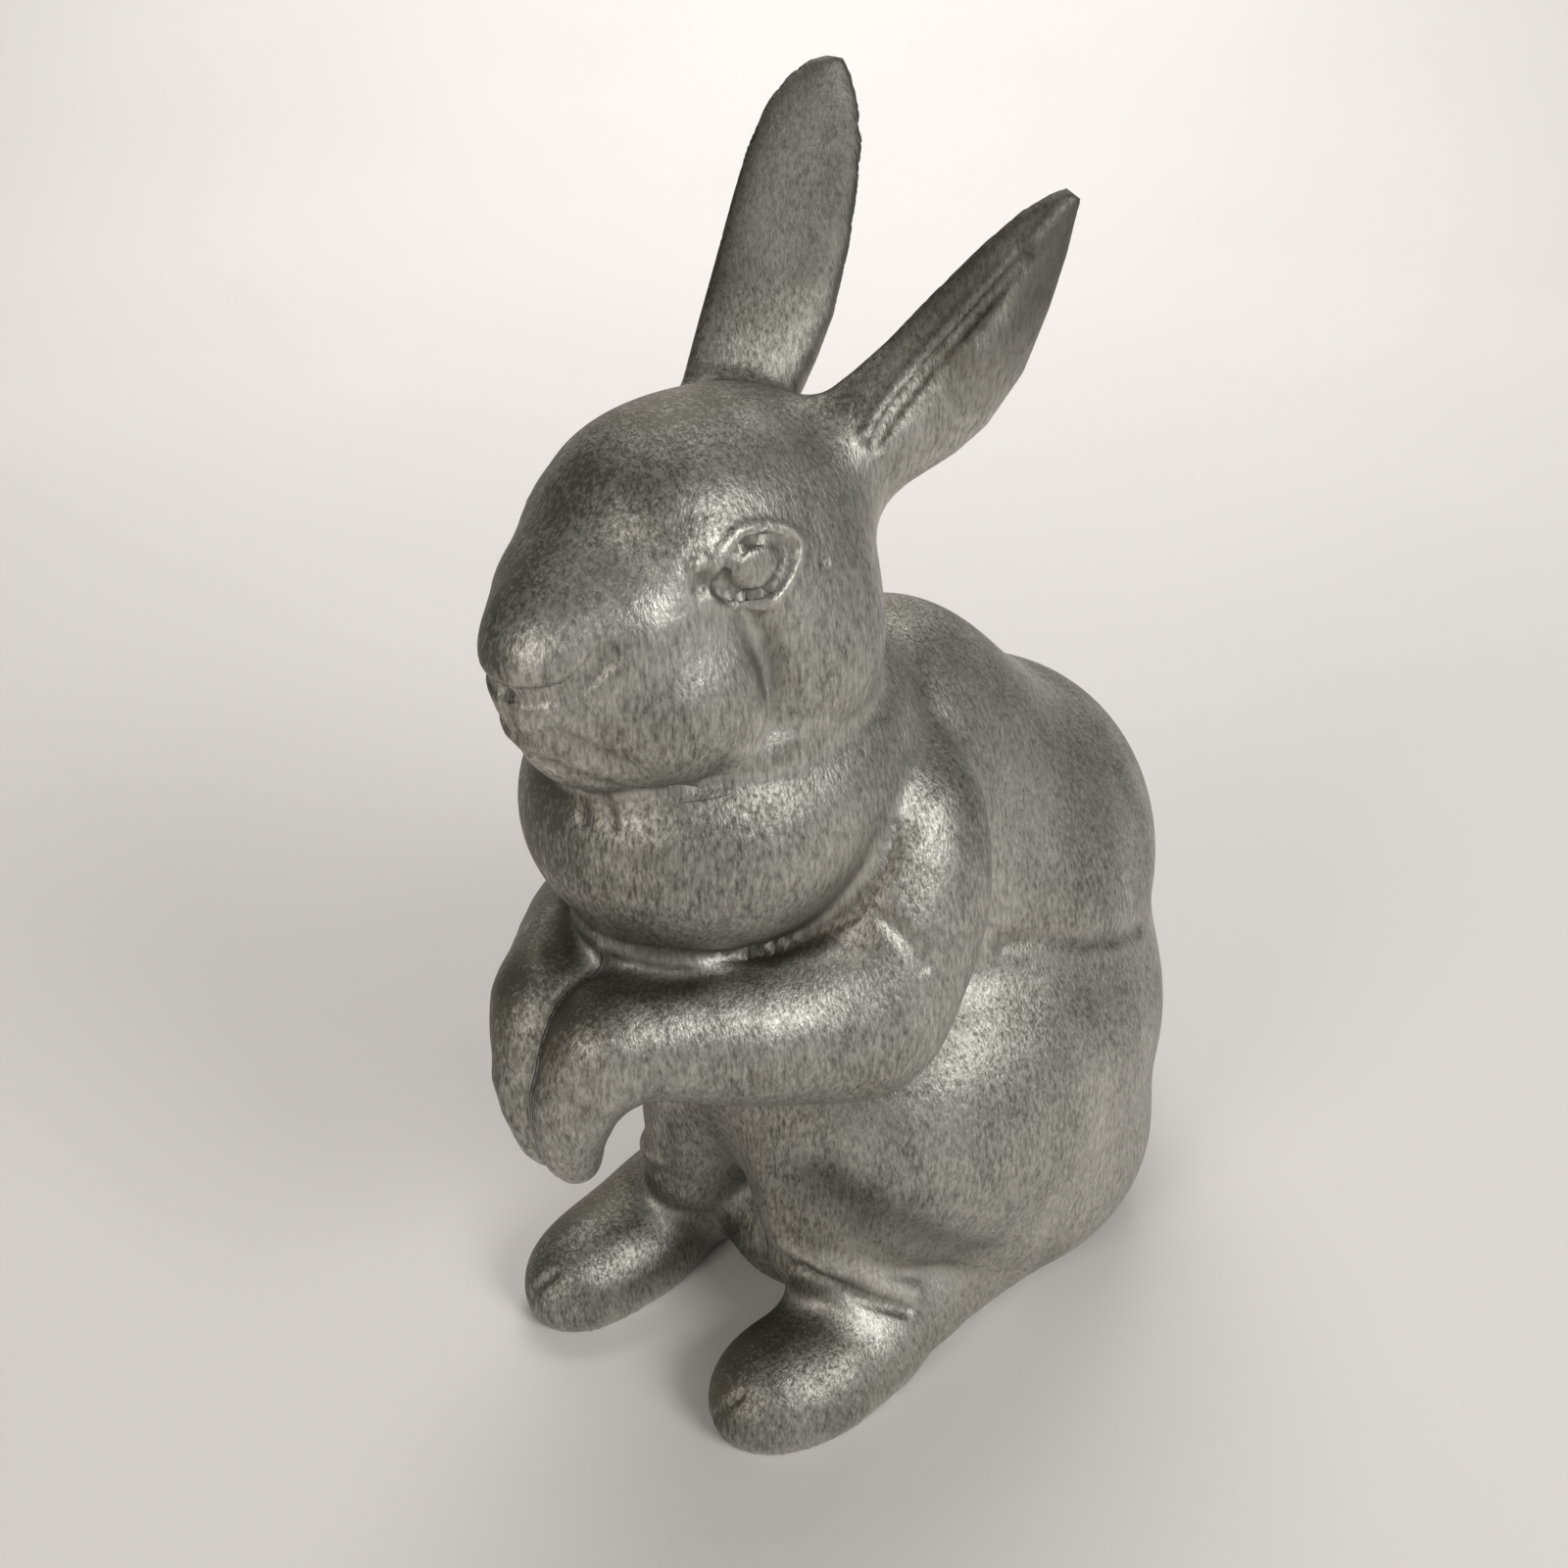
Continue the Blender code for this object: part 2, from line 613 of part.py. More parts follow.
    castings = [head] + ears + paws + feet + [tail] + halves
    low = np.min([v.co for obj in castings for v in obj.data.vertices], axis=0)
    high = np.max([v.co for obj in castings for v in obj.data.vertices], axis=0)
    to_centre = Matrix.Translation((-(low[0] + high[0]) / 2, -(low[1] + high[1]) / 2, -low[2]))
    for obj in castings:
        tidy(obj)
        obj.data.materials.clear()
        obj.data.materials.append(metal(obj.name + "_aluminium", (0.46, 0.45, 0.42), 0.42))
    for obj in steel + [sleeve]:
        smooth(obj)
        obj.data.materials.clear()
        obj.data.materials.append(metal(obj.name + "_metal", (0.55, 0.55, 0.56), 0.3))
    for obj in castings + steel + [sleeve]:
        obj.data.transform(to_centre)


main()
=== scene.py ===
"""Seated rabbit figure in cast aluminium: finished surfaces, studio and camera.

The outer form is the same set of clay-like masses as the CAD, meshed about twice
as finely and given its modelled lines: eyelids, nose, lips, ear ribs, folds and
toes.  Lengths are in millimetres until a mesh is made; x is the rabbit's left,
-y is forward, z is up.
"""

import bmesh
import bpy
import numpy as np
from mathutils import Matrix, Vector


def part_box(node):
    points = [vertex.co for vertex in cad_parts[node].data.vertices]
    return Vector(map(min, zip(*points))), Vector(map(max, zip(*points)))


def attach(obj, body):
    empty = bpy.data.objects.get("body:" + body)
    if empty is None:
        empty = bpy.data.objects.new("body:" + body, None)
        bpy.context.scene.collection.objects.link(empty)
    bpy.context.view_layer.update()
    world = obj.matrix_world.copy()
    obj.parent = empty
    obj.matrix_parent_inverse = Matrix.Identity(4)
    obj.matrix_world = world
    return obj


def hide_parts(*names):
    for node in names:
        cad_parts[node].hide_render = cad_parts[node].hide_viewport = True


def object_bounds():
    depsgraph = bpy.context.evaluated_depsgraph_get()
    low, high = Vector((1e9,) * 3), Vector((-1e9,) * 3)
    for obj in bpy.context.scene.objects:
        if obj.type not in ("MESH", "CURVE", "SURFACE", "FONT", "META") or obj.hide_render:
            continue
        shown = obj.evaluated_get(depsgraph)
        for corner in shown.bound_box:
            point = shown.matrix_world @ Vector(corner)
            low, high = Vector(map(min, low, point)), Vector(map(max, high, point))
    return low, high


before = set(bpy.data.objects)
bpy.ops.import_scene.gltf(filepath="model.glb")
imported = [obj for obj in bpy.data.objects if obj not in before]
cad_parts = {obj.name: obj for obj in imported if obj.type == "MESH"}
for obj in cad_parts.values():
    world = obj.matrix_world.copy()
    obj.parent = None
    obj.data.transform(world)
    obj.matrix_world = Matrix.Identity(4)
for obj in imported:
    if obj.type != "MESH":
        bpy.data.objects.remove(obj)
cad_low, cad_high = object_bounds()

MM = 0.001            # metres per millimetre
CELL = 3.0            # edge of one sampling cell
PULLS = 3             # times the fine skin is pulled onto its field
SOLE = 0.4            # points lower than this rest on the ground
GROOVE_REACH = 3.5    # widths at which a groove has died out
VOXEL = 1.0           # voxel of the fine skin
CORE_VOXEL = 2.4      # voxel of the hollow
CLEARANCE = 0.3       # clearance of the dowels in their holes
WALL = 5.6            # wall of the hollow trunk
FIELD_BOX = ((-82.0, -114.0, -5.0), (82.0, 158.0, 346.0))
CORE_BOX = ((-72, -95, 2), (72, 140, 196))
SLEEVE_Y = -34.0      # the neck sleeve stands here in the script's own frame

VIEW_AZIMUTH = 42.0   # degrees, from the figure's front towards its left
VIEW_PITCH = 31.0     # degrees below the horizon
VIEW_PLACE = (245.3, -287.0, 392.0)
FOCAL_LENGTH = 38.81

FLOOR_NEAR = -3.0     # metres along the view, from the figure
FLOOR_FAR = 1.1
FLOOR_HALF = 3.5      # half width of the paper
SWEEP_RADIUS = 0.9
SWEEP_STEPS = 24
SWEEP_TOP = 3.4

EAR_FOOT = 262.0      # height where the ears leave the head

NECK_POINT = (0.0, -70.0, 203.0)
NECK_RISE = 0.12      # slope of the jowl parting plane
WRIST_Y = -71.0
WRIST_BAND = (92.0, 154.5)
ANKLE_SLOPE = -0.8    # ankle plane: z = slope * y
ANKLE_INNER = 15.0    # inner side of the ankle cut
TAIL_Y = 134.0
MOUTH_RADIUS = 22.0   # core opening in the underside of the trunk
MOUTH_PLACE = (0.0, 42.0, 6.0)

EAR_L = {
    "base": (20.0, -9.2, 262.9),
    "tip": (41.4, 31.4, 315.2),
    "across": (-0.36, -0.72, 0.55),
    "side": 1.0,
    "at": (-0.3, 0.0, 0.17, 0.3, 0.5, 0.7, 0.85, 0.95, 1.0, 1.1),
    "front": (22.0, 17.0, 13.5, 11.6, 10.3, 8.8, 6.8, 3.8, 1.2, -3.0),
    "rear": (9.0, 13.5, 19.0, 21.2, 19.8, 13.8, 8.2, 3.6, 1.2, -3.0),
}
EAR_R = {
    "base": (-16.0, -11.0, 268.0),
    "tip": (-24.0, 30.6, 336.0),
    "across": (-0.6, -0.75, 0.2),
    "side": -1.0,
    "at": (-0.3, 0.0, 0.16, 0.3, 0.5, 0.66, 0.8, 0.9, 0.96, 1.0, 1.1),
    "front": (13.0, 14.5, 14.7, 14.7, 14.8, 14.6, 13.0, 9.6, 6.0, 1.2, -3.0),
    "rear": (10.0, 12.0, 14.0, 15.0, 14.2, 12.5, 10.5, 7.2, 4.3, 1.2, -3.0),
}
EAR_ROOT = 0.14       # parting plane of an ear, as a share of its length
EAR_BOX = (27.0, 17.0)

EYE_CENTRE = (29.6, -55.8, 253.2)
EYE_FACING = (0.83, -0.50, 0.25)


# ------------------------------------------------------------- distance fields

def blend(a, b, reach):
    """Union of two fields with a fillet of the given reach."""
    h = np.maximum(reach - np.abs(a - b), 0.0) / reach
    return np.minimum(a, b) - h * h * reach * 0.25


def carve(a, b, reach):
    """Intersection of two fields with a rounded edge."""
    return -blend(-a, -b, reach)


def turn(degrees):
    """Rotation matrix for x, y, z angles in degrees."""
    x, y, z = (Matrix.Rotation(np.radians(a), 3, n) for a, n in zip(degrees, "XYZ"))
    return np.array(z @ y @ x)


def egg(p, centre, radii, tilt=(0.0, 0.0, 0.0)):
    """Ellipsoid."""
    q = (p - np.array(centre)) @ turn(tilt)
    r = np.array(radii)
    k0 = np.sqrt(((q / r) ** 2).sum(1))
    k1 = np.sqrt(((q / r ** 2) ** 2).sum(1)) + 1e-9
    return k0 * (k0 - 1.0) / k1


def spline(points, steps):
    """Smooth curve through the given points, sampled evenly."""
    p = np.array(points, float)
    p = np.vstack([2 * p[0] - p[1], p, 2 * p[-1] - p[-2]])
    out = []
    for t in np.linspace(0.0, len(p) - 3.0, steps + 1):
        i = min(int(t), len(p) - 4)
        u = t - i
        a, b, c, d = p[i:i + 4]
        cubic = -a + 3 * b - 3 * c + d
        out.append(0.5 * (2 * b + (c - a) * u + (2 * a - 5 * b + 4 * c - d) * u * u + cubic * u ** 3))
    return np.array(out)


def along(p, a, b):
    """Distance to the segment a-b and the position along it."""
    ab = b - a
    q = p - a
    h = np.clip(q @ ab / (ab @ ab), 0.0, 1.0)
    return np.sqrt(((q - h[:, None] * ab) ** 2).sum(1)), h


def limb(p, stations, steps, reach):
    """Tube of changing radius through (x, y, z, radius) stations."""
    line = spline(stations, steps)
    field = None
    for a, b in zip(line[:-1], line[1:]):
        d, h = along(p, a[:3], b[:3])
        d = d - (a[3] + h * (b[3] - a[3]))
        field = d if field is None else blend(field, d, reach)
    return field


def crease(p, points, depth, width):
    """Soft groove that follows a line lying on the surface."""
    line = spline(points, 2 * len(points))
    nearest = np.min([along(p, a, b)[0] for a, b in zip(line[:-1], line[1:])], axis=0)
    return depth * np.exp(-(nearest / width) ** 2)


def fold_sides(p, softness):
    """Map both sides of the median plane onto the left side."""
    q = p.copy()
    q[:, 0] = np.sqrt(p[:, 0] ** 2 + softness)
    return q


# ------------------------------------------------------------------- the masses

def torso(p):
    """Back, rump, belly and haunches."""
    q = fold_sides(p, 4.0)
    d = egg(p, (0, 56, 107.5), (58, 72.5, 68), (8, 0, 0))
    d = blend(d, egg(p, (0, 74, 54), (54.5, 57, 57)), 20)
    d = blend(d, egg(p, (0, 14, 164), (39, 50, 45), (20, 0, 0)), 28)
    d = blend(d, egg(p, (0, -16, 118), (34, 38, 48)), 14)
    d = blend(d, egg(p, (0, 12, 22), (34, 42, 34)), 10)
    d = blend(d, egg(p, (0, -11, 80), (22, 31, 30)), 10)
    haunch = egg(q, (33, 42, 66), (40, 72, 57), (-4, 0, 4))
    haunch = blend(haunch, egg(q, (41, 52, 26), (31, 48, 30)), 16)
    haunch = blend(haunch, egg(q, (17, -11, 82), (20, 33, 42)), 30)
    return blend(d, haunch, 7)


def trunk(p):
    """Torso with the lower legs and the tail."""
    q = fold_sides(p, 4.0)
    shin = [(18, -21, 62, 16), (25, -26, 38, 15), (34, -14, 18, 14), (42, 10, 12, 12), (44, 40, 12, 14)]
    d = blend(torso(p), limb(q, shin, 8, 3), 9)
    return blend(d, egg(p, (0, 135, 44), (15, 15, 19)), 5)


def hind_feet(p):
    """Long feet, both toes turned slightly to the right and the right one further forward."""
    q = fold_sides(p, 0.0)
    right = p[:, 0] < 0.0
    q[:, 1] += np.where(right, 6.5, 0.0) * np.clip(-q[:, 1] / 70.0, 0.0, 1.0)
    toe = q + np.where(right, -3.5, 3.5)[:, None] * (1.0, 0.0, 0.0)
    d = egg(q, (36.5, -38, 8), (19.5, 30, 18.5))
    d = blend(d, egg(toe, (34.5, -56, 7), (15, 17.5, 16.5)), 8)
    return blend(d, limb(q, [(42, 30, 8, 12), (41, -20, 9, 15)], 3, 3), 10)


def forelegs(p):
    """Upper arms, forearms held forward and hanging paws."""
    q = fold_sides(p, 0.25)
    upper = limb(q, [(30, -8, 172, 22.5), (35, -16, 152, 24), (36.5, -28, 132, 23)], 6, 4)
    fore = [(35.5, -32, 130, 22), (26, -56, 134, 19), (15, -77, 138, 14.5), (10, -87, 138, 12.5)]
    paw = [(10, -87, 138, 12.5), (7.2, -95, 124, 10), (5, -96, 110, 7), (4.5, -94.5, 103, 5.5)]
    return blend(upper, blend(limb(q, fore, 8, 4), limb(q, paw, 6, 3), 6), 10)


def chest(p):
    """Dewlap and the front of the neck."""
    d = blend(egg(p, (0, -42, 184), (43, 46, 37)), egg(p, (0, -18, 190), (36, 34, 36)), 16)
    return blend(d, egg(p, (0, -58, 148), (20, 20, 18)), 12)


def skull(p):
    """Cranium, jowls, muzzle, whisker pads, chin and brows."""
    q = fold_sides(p, 0.5)
    d = egg(p, (0, -35, 249), (31, 34, 30))
    d = blend(d, egg(p, (0, -55, 252), (28, 25, 25)), 12)
    d = blend(d, egg(q, (19, -34, 223), (19, 25, 28)), 14)
    d = blend(d, egg(p, (0, -75, 238), (20, 23, 19.5)), 10)
    d = blend(d, egg(p, (0, -86, 234), (14.5, 15, 14.5)), 6)
    d = blend(d, egg(q, (24, -47, 209), (11, 17, 8)), 6)
    d = blend(d, egg(q, (14, -70, 241), (11.5, 15, 12.5)), 9)
    d = blend(d, egg(q, (13, -65, 224), (19.5, 23.5, 22), (0, 0, -10)), 5)
    d = blend(d, egg(p, (0, -86, 222), (13, 12, 11)), 4)
    d = blend(d, egg(p, (0, -72, 213), (19, 20, 13)), 5)
    d = blend(d, egg(q, (21, -61, 254), (5, 11, 6), (0, 25, -15)), 7)
    pad = [(24.5, -66, 252), (27, -62, 249), (29, -57, 241), (29.6, -54.5, 232), (29.3, -54.6, 224.5),
           (27, -56, 216)]
    nose = [(0, -101.6, 231.5), (7.2, -100.1, 231.5), (11.7, -97.4, 233.1), (16.3, -92.2, 236.8),
            (18, -88.1, 241)]
    d = d + crease(q, pad, 2.6, 3.2) + crease(q, nose, 1.7, 2.2)
    return eye(q, d)


def eye(q, d):
    """Almond eyeball inside a raised lid."""
    facing = np.array(EYE_FACING) / np.linalg.norm(EYE_FACING)
    long_axis = np.array((0.2, 0.72, 0.22))
    long_axis = long_axis - facing * (long_axis @ facing)
    long_axis /= np.linalg.norm(long_axis)
    r = q - np.array(EYE_CENTRE)
    u = r @ long_axis
    v = r @ np.cross(long_axis, facing)
    w = r @ facing
    ring = np.sqrt((u / 7.7) ** 2 + (v / (6.0 - 0.16 * np.clip(np.abs(u), 0, 12))) ** 2)
    near = np.exp(-(w / 9.0) ** 2)
    d = d + 1.3 * np.exp(-((ring - 1.0) / 0.22) ** 2) * near
    return d - 1.2 * np.exp(-((ring - 1.4) / 0.25) ** 2) * near


def ear_axes(ear):
    """Root, lengthwise, crosswise and facing directions of an ear, and its length."""
    root = np.array(ear["base"])
    lengthwise = np.array(ear["tip"]) - root
    length = np.linalg.norm(lengthwise)
    lengthwise /= length
    across = np.array(ear["across"])
    across = across - lengthwise * (across @ lengthwise)
    across /= np.linalg.norm(across)
    return root, lengthwise, across, np.cross(across, lengthwise) * ear["side"], length


def ear_blade(p, ear):
    """Leaf-shaped blade, dished on the side it opens to."""
    root, lengthwise, across, facing, length = ear_axes(ear)
    q = p - root
    s = (q @ lengthwise) / length
    front = np.interp(s, ear["at"], ear["front"])
    rear = np.interp(s, ear["at"], ear["rear"])
    half = 0.5 * (front + rear)
    u = q @ across - 0.5 * (front - rear)
    thick = np.interp(s, (-0.3, 0.0, 0.3, 0.7, 1.05), (9.0, 8.0, 6.0, 4.2, 2.2))
    v = q @ facing - u * u / 80.0 + 1.0
    wide = np.maximum(half, 0.8)
    k0 = np.sqrt((u / wide) ** 2 + (v / thick) ** 2)
    k1 = np.sqrt((u / wide ** 2) ** 2 + (v / thick ** 2) ** 2) + 1e-6
    d = k0 * (k0 - 1.0) / k1 + np.where(half < 0.8, (0.8 - half) * 1.5, 0.0)
    return 0.8 * carve(d, (-s - 0.15) * length, 4.0)


def rabbit(p):
    """The whole outer form on flat ground."""
    d = blend(trunk(p), hind_feet(p), 10)
    d = blend(d, forelegs(p), 5)
    d = blend(d, chest(p), 5)
    ears = np.minimum(ear_blade(p, EAR_L), ear_blade(p, EAR_R))
    d = blend(d, blend(skull(p), ears, 7), 4)
    return np.maximum(d, -p[:, 2])


def trunk_core(p):
    """Hollow of the trunk: the main masses set in by the wall, closed below the neck."""
    d = blend(torso(p), egg(p, (0, -42, 184), (43, 46, 37)), 12) + WALL
    d = carve(d, p[:, 2] - 186.0, 6)
    return carve(d, WALL - p[:, 2], 6)


# -------------------------------------------------------------- modelled lines

# (both sides, depth in mm or a negative height, width in mm, line)
GROOVES = (
    # nose, cleft and lips
    (True, 3.4, 1.7, ((0, -99.9, 231.5), (4.6, -99.2, 231.8), (9, -97.2, 232.6), (12.4, -94.2, 232.9),
                      (14.5, -91.5, 235.2), (16.1, -89, 238.1), (17.6, -86.6, 241))),
    (False, 1.2, 1.5, ((0, -100.5, 231), (0, -99, 226), (0, -97, 221))),
    (True, 0.9, 1.6, ((0, -97.5, 220.5), (4, -96.8, 221.2), (8, -95.5, 222.6), (11, -93.1, 222.4),
                      (13.4, -88.7, 217.8), (19.4, -84.6, 215.1))),
    # eyeball edge, lids and tear duct
    (True, 0.8, 0.9, ((25.3, -61.7, 250.7), (27.6, -61.1, 255.9), (28.4, -57, 258.2), (28.6, -51.7, 258),
                      (29.9, -49.3, 255.5), (30.6, -49.4, 252.1), (30.3, -52.1, 249), (28.7, -55.1, 246.9),
                      (26.5, -58.4, 246.7), (25.4, -60.7, 248.6), (25.3, -61.7, 250.7))),
    (True, 0.7, 0.9, ((25.2, -64.9, 251.3), (27, -63, 247.5), (26.9, -58.3, 243.7), (30.8, -55.7, 245.5),
                      (32.3, -50.7, 248.4), (32.3, -47.5, 252), (31.7, -46.2, 255.3))),
    (True, 0.7, 0.9, ((25.2, -64.9, 251.3), (28.4, -64.7, 257), (28.7, -60.1, 259.9), (29.6, -54.3, 260.6),
                      (30.7, -49, 259.1), (31.7, -46.2, 255.3))),
    (True, 0.4, 1.0, ((24.2, -70.5, 256.6), (24.4, -68.9, 258.7), (25.5, -67.3, 258.5), (26.4, -66.6, 256.7),
                      (25.8, -66.9, 254.3), (25.2, -69.3, 254.4), (24.2, -70.5, 256.6))),
    (True, -0.8, 1.6, ((25.2, -68.3, 256.2), (25.4, -68.1, 256.4))),
    # casting pinholes on the left cheek
    (False, 1.3, 0.9, ((33.2, -38.9, 250.3), (33.4, -38.7, 250.3))),
    (False, 1.3, 1.0, ((37.4, -37.3, 231.1), (37.5, -37, 231.6))),
    (False, 1.1, 0.9, ((37.3, -40.4, 225.7), (37.3, -40.7, 225.7))),
    # whisker pad and jowl
    (True, -1.3, 3.2, ((26.5, -60.5, 245), (28.1, -54.9, 235.6), (29.2, -54.7, 225.6), (31, -57.5, 220),
                       (30.5, -62, 214))),
    (True, 0.8, 1.6, ((3.1, -95.7, 215.8), (7.9, -90.8, 211.6), (12.7, -85.8, 208.7), (16.5, -79.6, 205.9),
                      (23.4, -71.8, 205.5), (28.3, -64.8, 206.3))),
    # dewlap: lower crease, the rim over it and two short folds
    (True, 0.6, 1.8, ((0, -79.3, 160), (3.3, -79.2, 160.2), (13.7, -76.5, 161.6), (20.6, -70.9, 160.6),
                      (26.6, -57.8, 156), (31, -49, 155), (38.9, -40.6, 160), (43.4, -35.5, 166.2),
                      (45, -31.7, 171), (44.8, -27.7, 177.1), (43.2, -25.3, 183.3))),
    (True, -0.6, 1.8, ((0, -79, 156.6), (10.2, -76.5, 157), (19.5, -69.9, 156), (28, -59.2, 152.6),
                       (34.8, -49.8, 152.2), (40.9, -42.9, 155.5))),
    (False, 1.0, 1.3, ((9, -82.2, 202.6), (9.9, -82.4, 199.6), (11.9, -83.3, 196.8))),
    (False, 0.8, 1.3, ((3, -84.8, 203), (3.5, -84.6, 199), (4.8, -84.8, 196))),
    # shoulder nick, hollow on top of the forearm
    (True, 1.2, 2.0, ((49.4, -33.8, 163.1), (53.8, -31.8, 159.1), (58, -29.4, 152.3))),
    (True, 1.2, 3.6, ((9, -85, 151.5), (15.7, -79, 152.7), (21.3, -71.8, 152.9))),
    # haunch fold
    (True, 1.6, 2.4, ((57, 76, 106), (58.3, 59.7, 112.5), (56.1, 42.3, 119.9), (51.8, 29.3, 125.2),
                      (47.7, 19.2, 127.1))),
    # hollow above the shin, shin ridge and the crease to the foot
    (True, 2.6, 8.0, ((35.4, -38.5, 72.2), (44.1, -32.6, 64.8), (53.1, -22.6, 55.4), (58.7, -2.2, 36.7))),
    (True, -1.6, 2.8, ((24.1, -41.4, 47.6), (32.6, -38.9, 44.2), (40.4, -31.4, 39.2), (49.2, -15.8, 26.1))),
    (True, 1.6, 1.6, ((31, -40, 42.2), (37.3, -36, 37.6), (43.1, -30.2, 30.7), (51.1, -20.3, 23.4))),
    # toes
    (False, 1.1, 1.3, ((25.4, -72.1, 4.2), (30, -72.4, 13.2), (33.4, -69.3, 18.2))),
    (False, 1.1, 1.3, ((-41.6, -79.7, 8.7), (-38.3, -78.1, 15.1), (-35.1, -74.5, 19.3))),
    # left ear: rim ridge, groove under it and the bulge in the dish
    (False, -1.3, 1.6, ((25.2, -15.9, 269.6), (25.9, -10.4, 275.5), (29.4, -0.2, 285.6),
                        (34.4, 9.5, 295.9), (39.7, 18.8, 305), (42.5, 25.6, 312.6))),
    (False, 2.2, 1.5, ((26.5, -14.7, 268.3), (27.3, -9.7, 274.1), (29.2, -3, 280.5),
                       (32.5, 4.1, 288), (35.9, 11, 295.8), (39.3, 17.8, 303.3))),
    (False, -1.4, 5.0, ((36.4, 8.8, 284.8), (38, 12.2, 289))),
)


def sculpted(p):
    """The outer form with its modelled lines."""
    d = rabbit(p)
    mirrored = p * (-1.0, 1.0, 1.0)
    for sided, depth, width, line in GROOVES:
        points = np.array(line)
        low = points.min(0) - GROOVE_REACH * width
        high = points.max(0) + GROOVE_REACH * width
        for q in (p, mirrored) if sided else (p,):
            near = ((q > low) & (q < high)).all(1)
            d[near] += crease(q[near], points, depth, width)
    return d


# ---------------------------------------------------------------------- meshing

def sample(field, low, high):
    """Closed quad mesh near field = 0, with one point in each crossed cell."""
    axes = [np.arange(a, b + CELL, CELL) for a, b in zip(low, high)]
    grid = np.stack(np.meshgrid(*axes, indexing="ij"), -1).reshape(-1, 3)
    value = np.concatenate([field(part) for part in np.array_split(grid, 24)])
    value = value.reshape([len(a) for a in axes])
    inside = value < 0.0
    total = np.zeros(tuple(n - 1 for n in inside.shape) + (3,))
    count = np.zeros(total.shape[:3])
    crossings = []
    for axis in range(3):
        a = np.moveaxis(value, axis, 0)
        flip = np.moveaxis(inside, axis, 0)
        cut = flip[:-1] != flip[1:]
        where = np.argwhere(np.moveaxis(cut, 0, axis))
        lower = value[tuple(where.T)]
        step = np.eye(3, dtype=int)[axis]
        upper = value[tuple((where + step).T)]
        point = where + step * (lower / (lower - upper))[:, None]
        crossings.append((axis, where, lower < 0.0))
        b, c = [k for k in range(3) if k != axis]
        for db in (0, 1):
            for dc in (0, 1):
                cell = where.copy()
                cell[:, b] -= db
                cell[:, c] -= dc
                np.add.at(total, tuple(cell.T), point)
                np.add.at(count, tuple(cell.T), 1.0)
    used = np.argwhere(count > 0)
    index = np.full(count.shape, -1)
    index[tuple(used.T)] = np.arange(len(used))
    verts = np.array(low) + CELL * total[tuple(used.T)] / count[tuple(used.T)][:, None]
    faces = []
    for axis, where, outward in crossings:
        b, c = (axis + 1) % 3, (axis + 2) % 3
        ring = []
        for db, dc in ((0, 0), (1, 0), (1, 1), (0, 1)):
            cell = where.copy()
            cell[:, b] -= db
            cell[:, c] -= dc
            ring.append(index[tuple(cell.T)])
        quad = np.stack(ring, 1)
        quad[~outward] = quad[~outward][:, ::-1]
        faces.append(quad)
    return verts, np.concatenate(faces)


def slope(field, p):
    """Unit gradient of a field."""
    g = np.stack([field(p + e) - field(p - e) for e in 0.4 * np.eye(3)], 1)
    return g / (np.linalg.norm(g, axis=1)[:, None] + 1e-9)


def fine_surface(name, start, field, box, voxel):
    """Closed surface: sampled from a start field, remeshed evenly and pulled onto the final field."""
    obj = make_object(name, *sample(start, *box))
    mod = obj.modifiers.new("Remesh", "REMESH")
    mod.mode = "VOXEL"
    mod.voxel_size = voxel * MM
    bake(obj)
    points = np.empty(len(obj.data.vertices) * 3)
    obj.data.vertices.foreach_get("co", points)
    points = points.reshape(-1, 3) / MM
    for _ in range(PULLS):
        points -= np.clip(field(points), -1.0, 1.0)[:, None] * slope(field, points)
    points[:, 2] = np.where(points[:, 2] < SOLE, 0.0, points[:, 2])
    obj.data.vertices.foreach_set("co", (points * MM).ravel())
    obj.data.update()
    return obj


def make_object(name, verts, faces):
    """Object from points in millimetres and the faces between them."""
    mesh = bpy.data.meshes.new(name)
    mesh.from_pydata((np.asarray(verts) * MM).tolist(), [], np.asarray(faces).tolist())
    mesh.validate()
    obj = bpy.data.objects.new(name, mesh)
    bpy.context.collection.objects.link(obj)
    return obj


def bake(obj):
    """Replace the mesh by the result of its modifiers."""
    graph = bpy.context.evaluated_depsgraph_get()
    mesh = bpy.data.meshes.new_from_object(obj.evaluated_get(graph))
    obj.modifiers.clear()
    obj.data = mesh


def combine(obj, tool, operation):
    """Boolean of obj with one tool; the cuts graze folds, which needs the manifold solver."""
    mod = obj.modifiers.new(operation.title(), "BOOLEAN")
    mod.operation = operation
    mod.solver = "MANIFOLD"
    mod.object = tool
    bake(obj)


# ---------------------------------------------------------------- parting tools

def block(name, centre, half, columns=None):
    """Box cutter with half sizes along the given column directions."""
    bm = bmesh.new()
    bmesh.ops.create_cube(bm, size=2.0)
    turned = Matrix(np.eye(3) if columns is None else np.array(columns).T).to_4x4()
    size = Matrix.Diagonal(Vector([h * MM for h in half] + [1.0]))
    bm.transform(Matrix.Translation(Vector(centre) * MM) @ turned @ size)
    mesh = bpy.data.meshes.new(name)
    bm.to_mesh(mesh)
    bm.free()
    obj = bpy.data.objects.new(name, mesh)
    bpy.context.collection.objects.link(obj)
    obj.hide_render = True
    obj.display_type = "WIRE"
    return obj


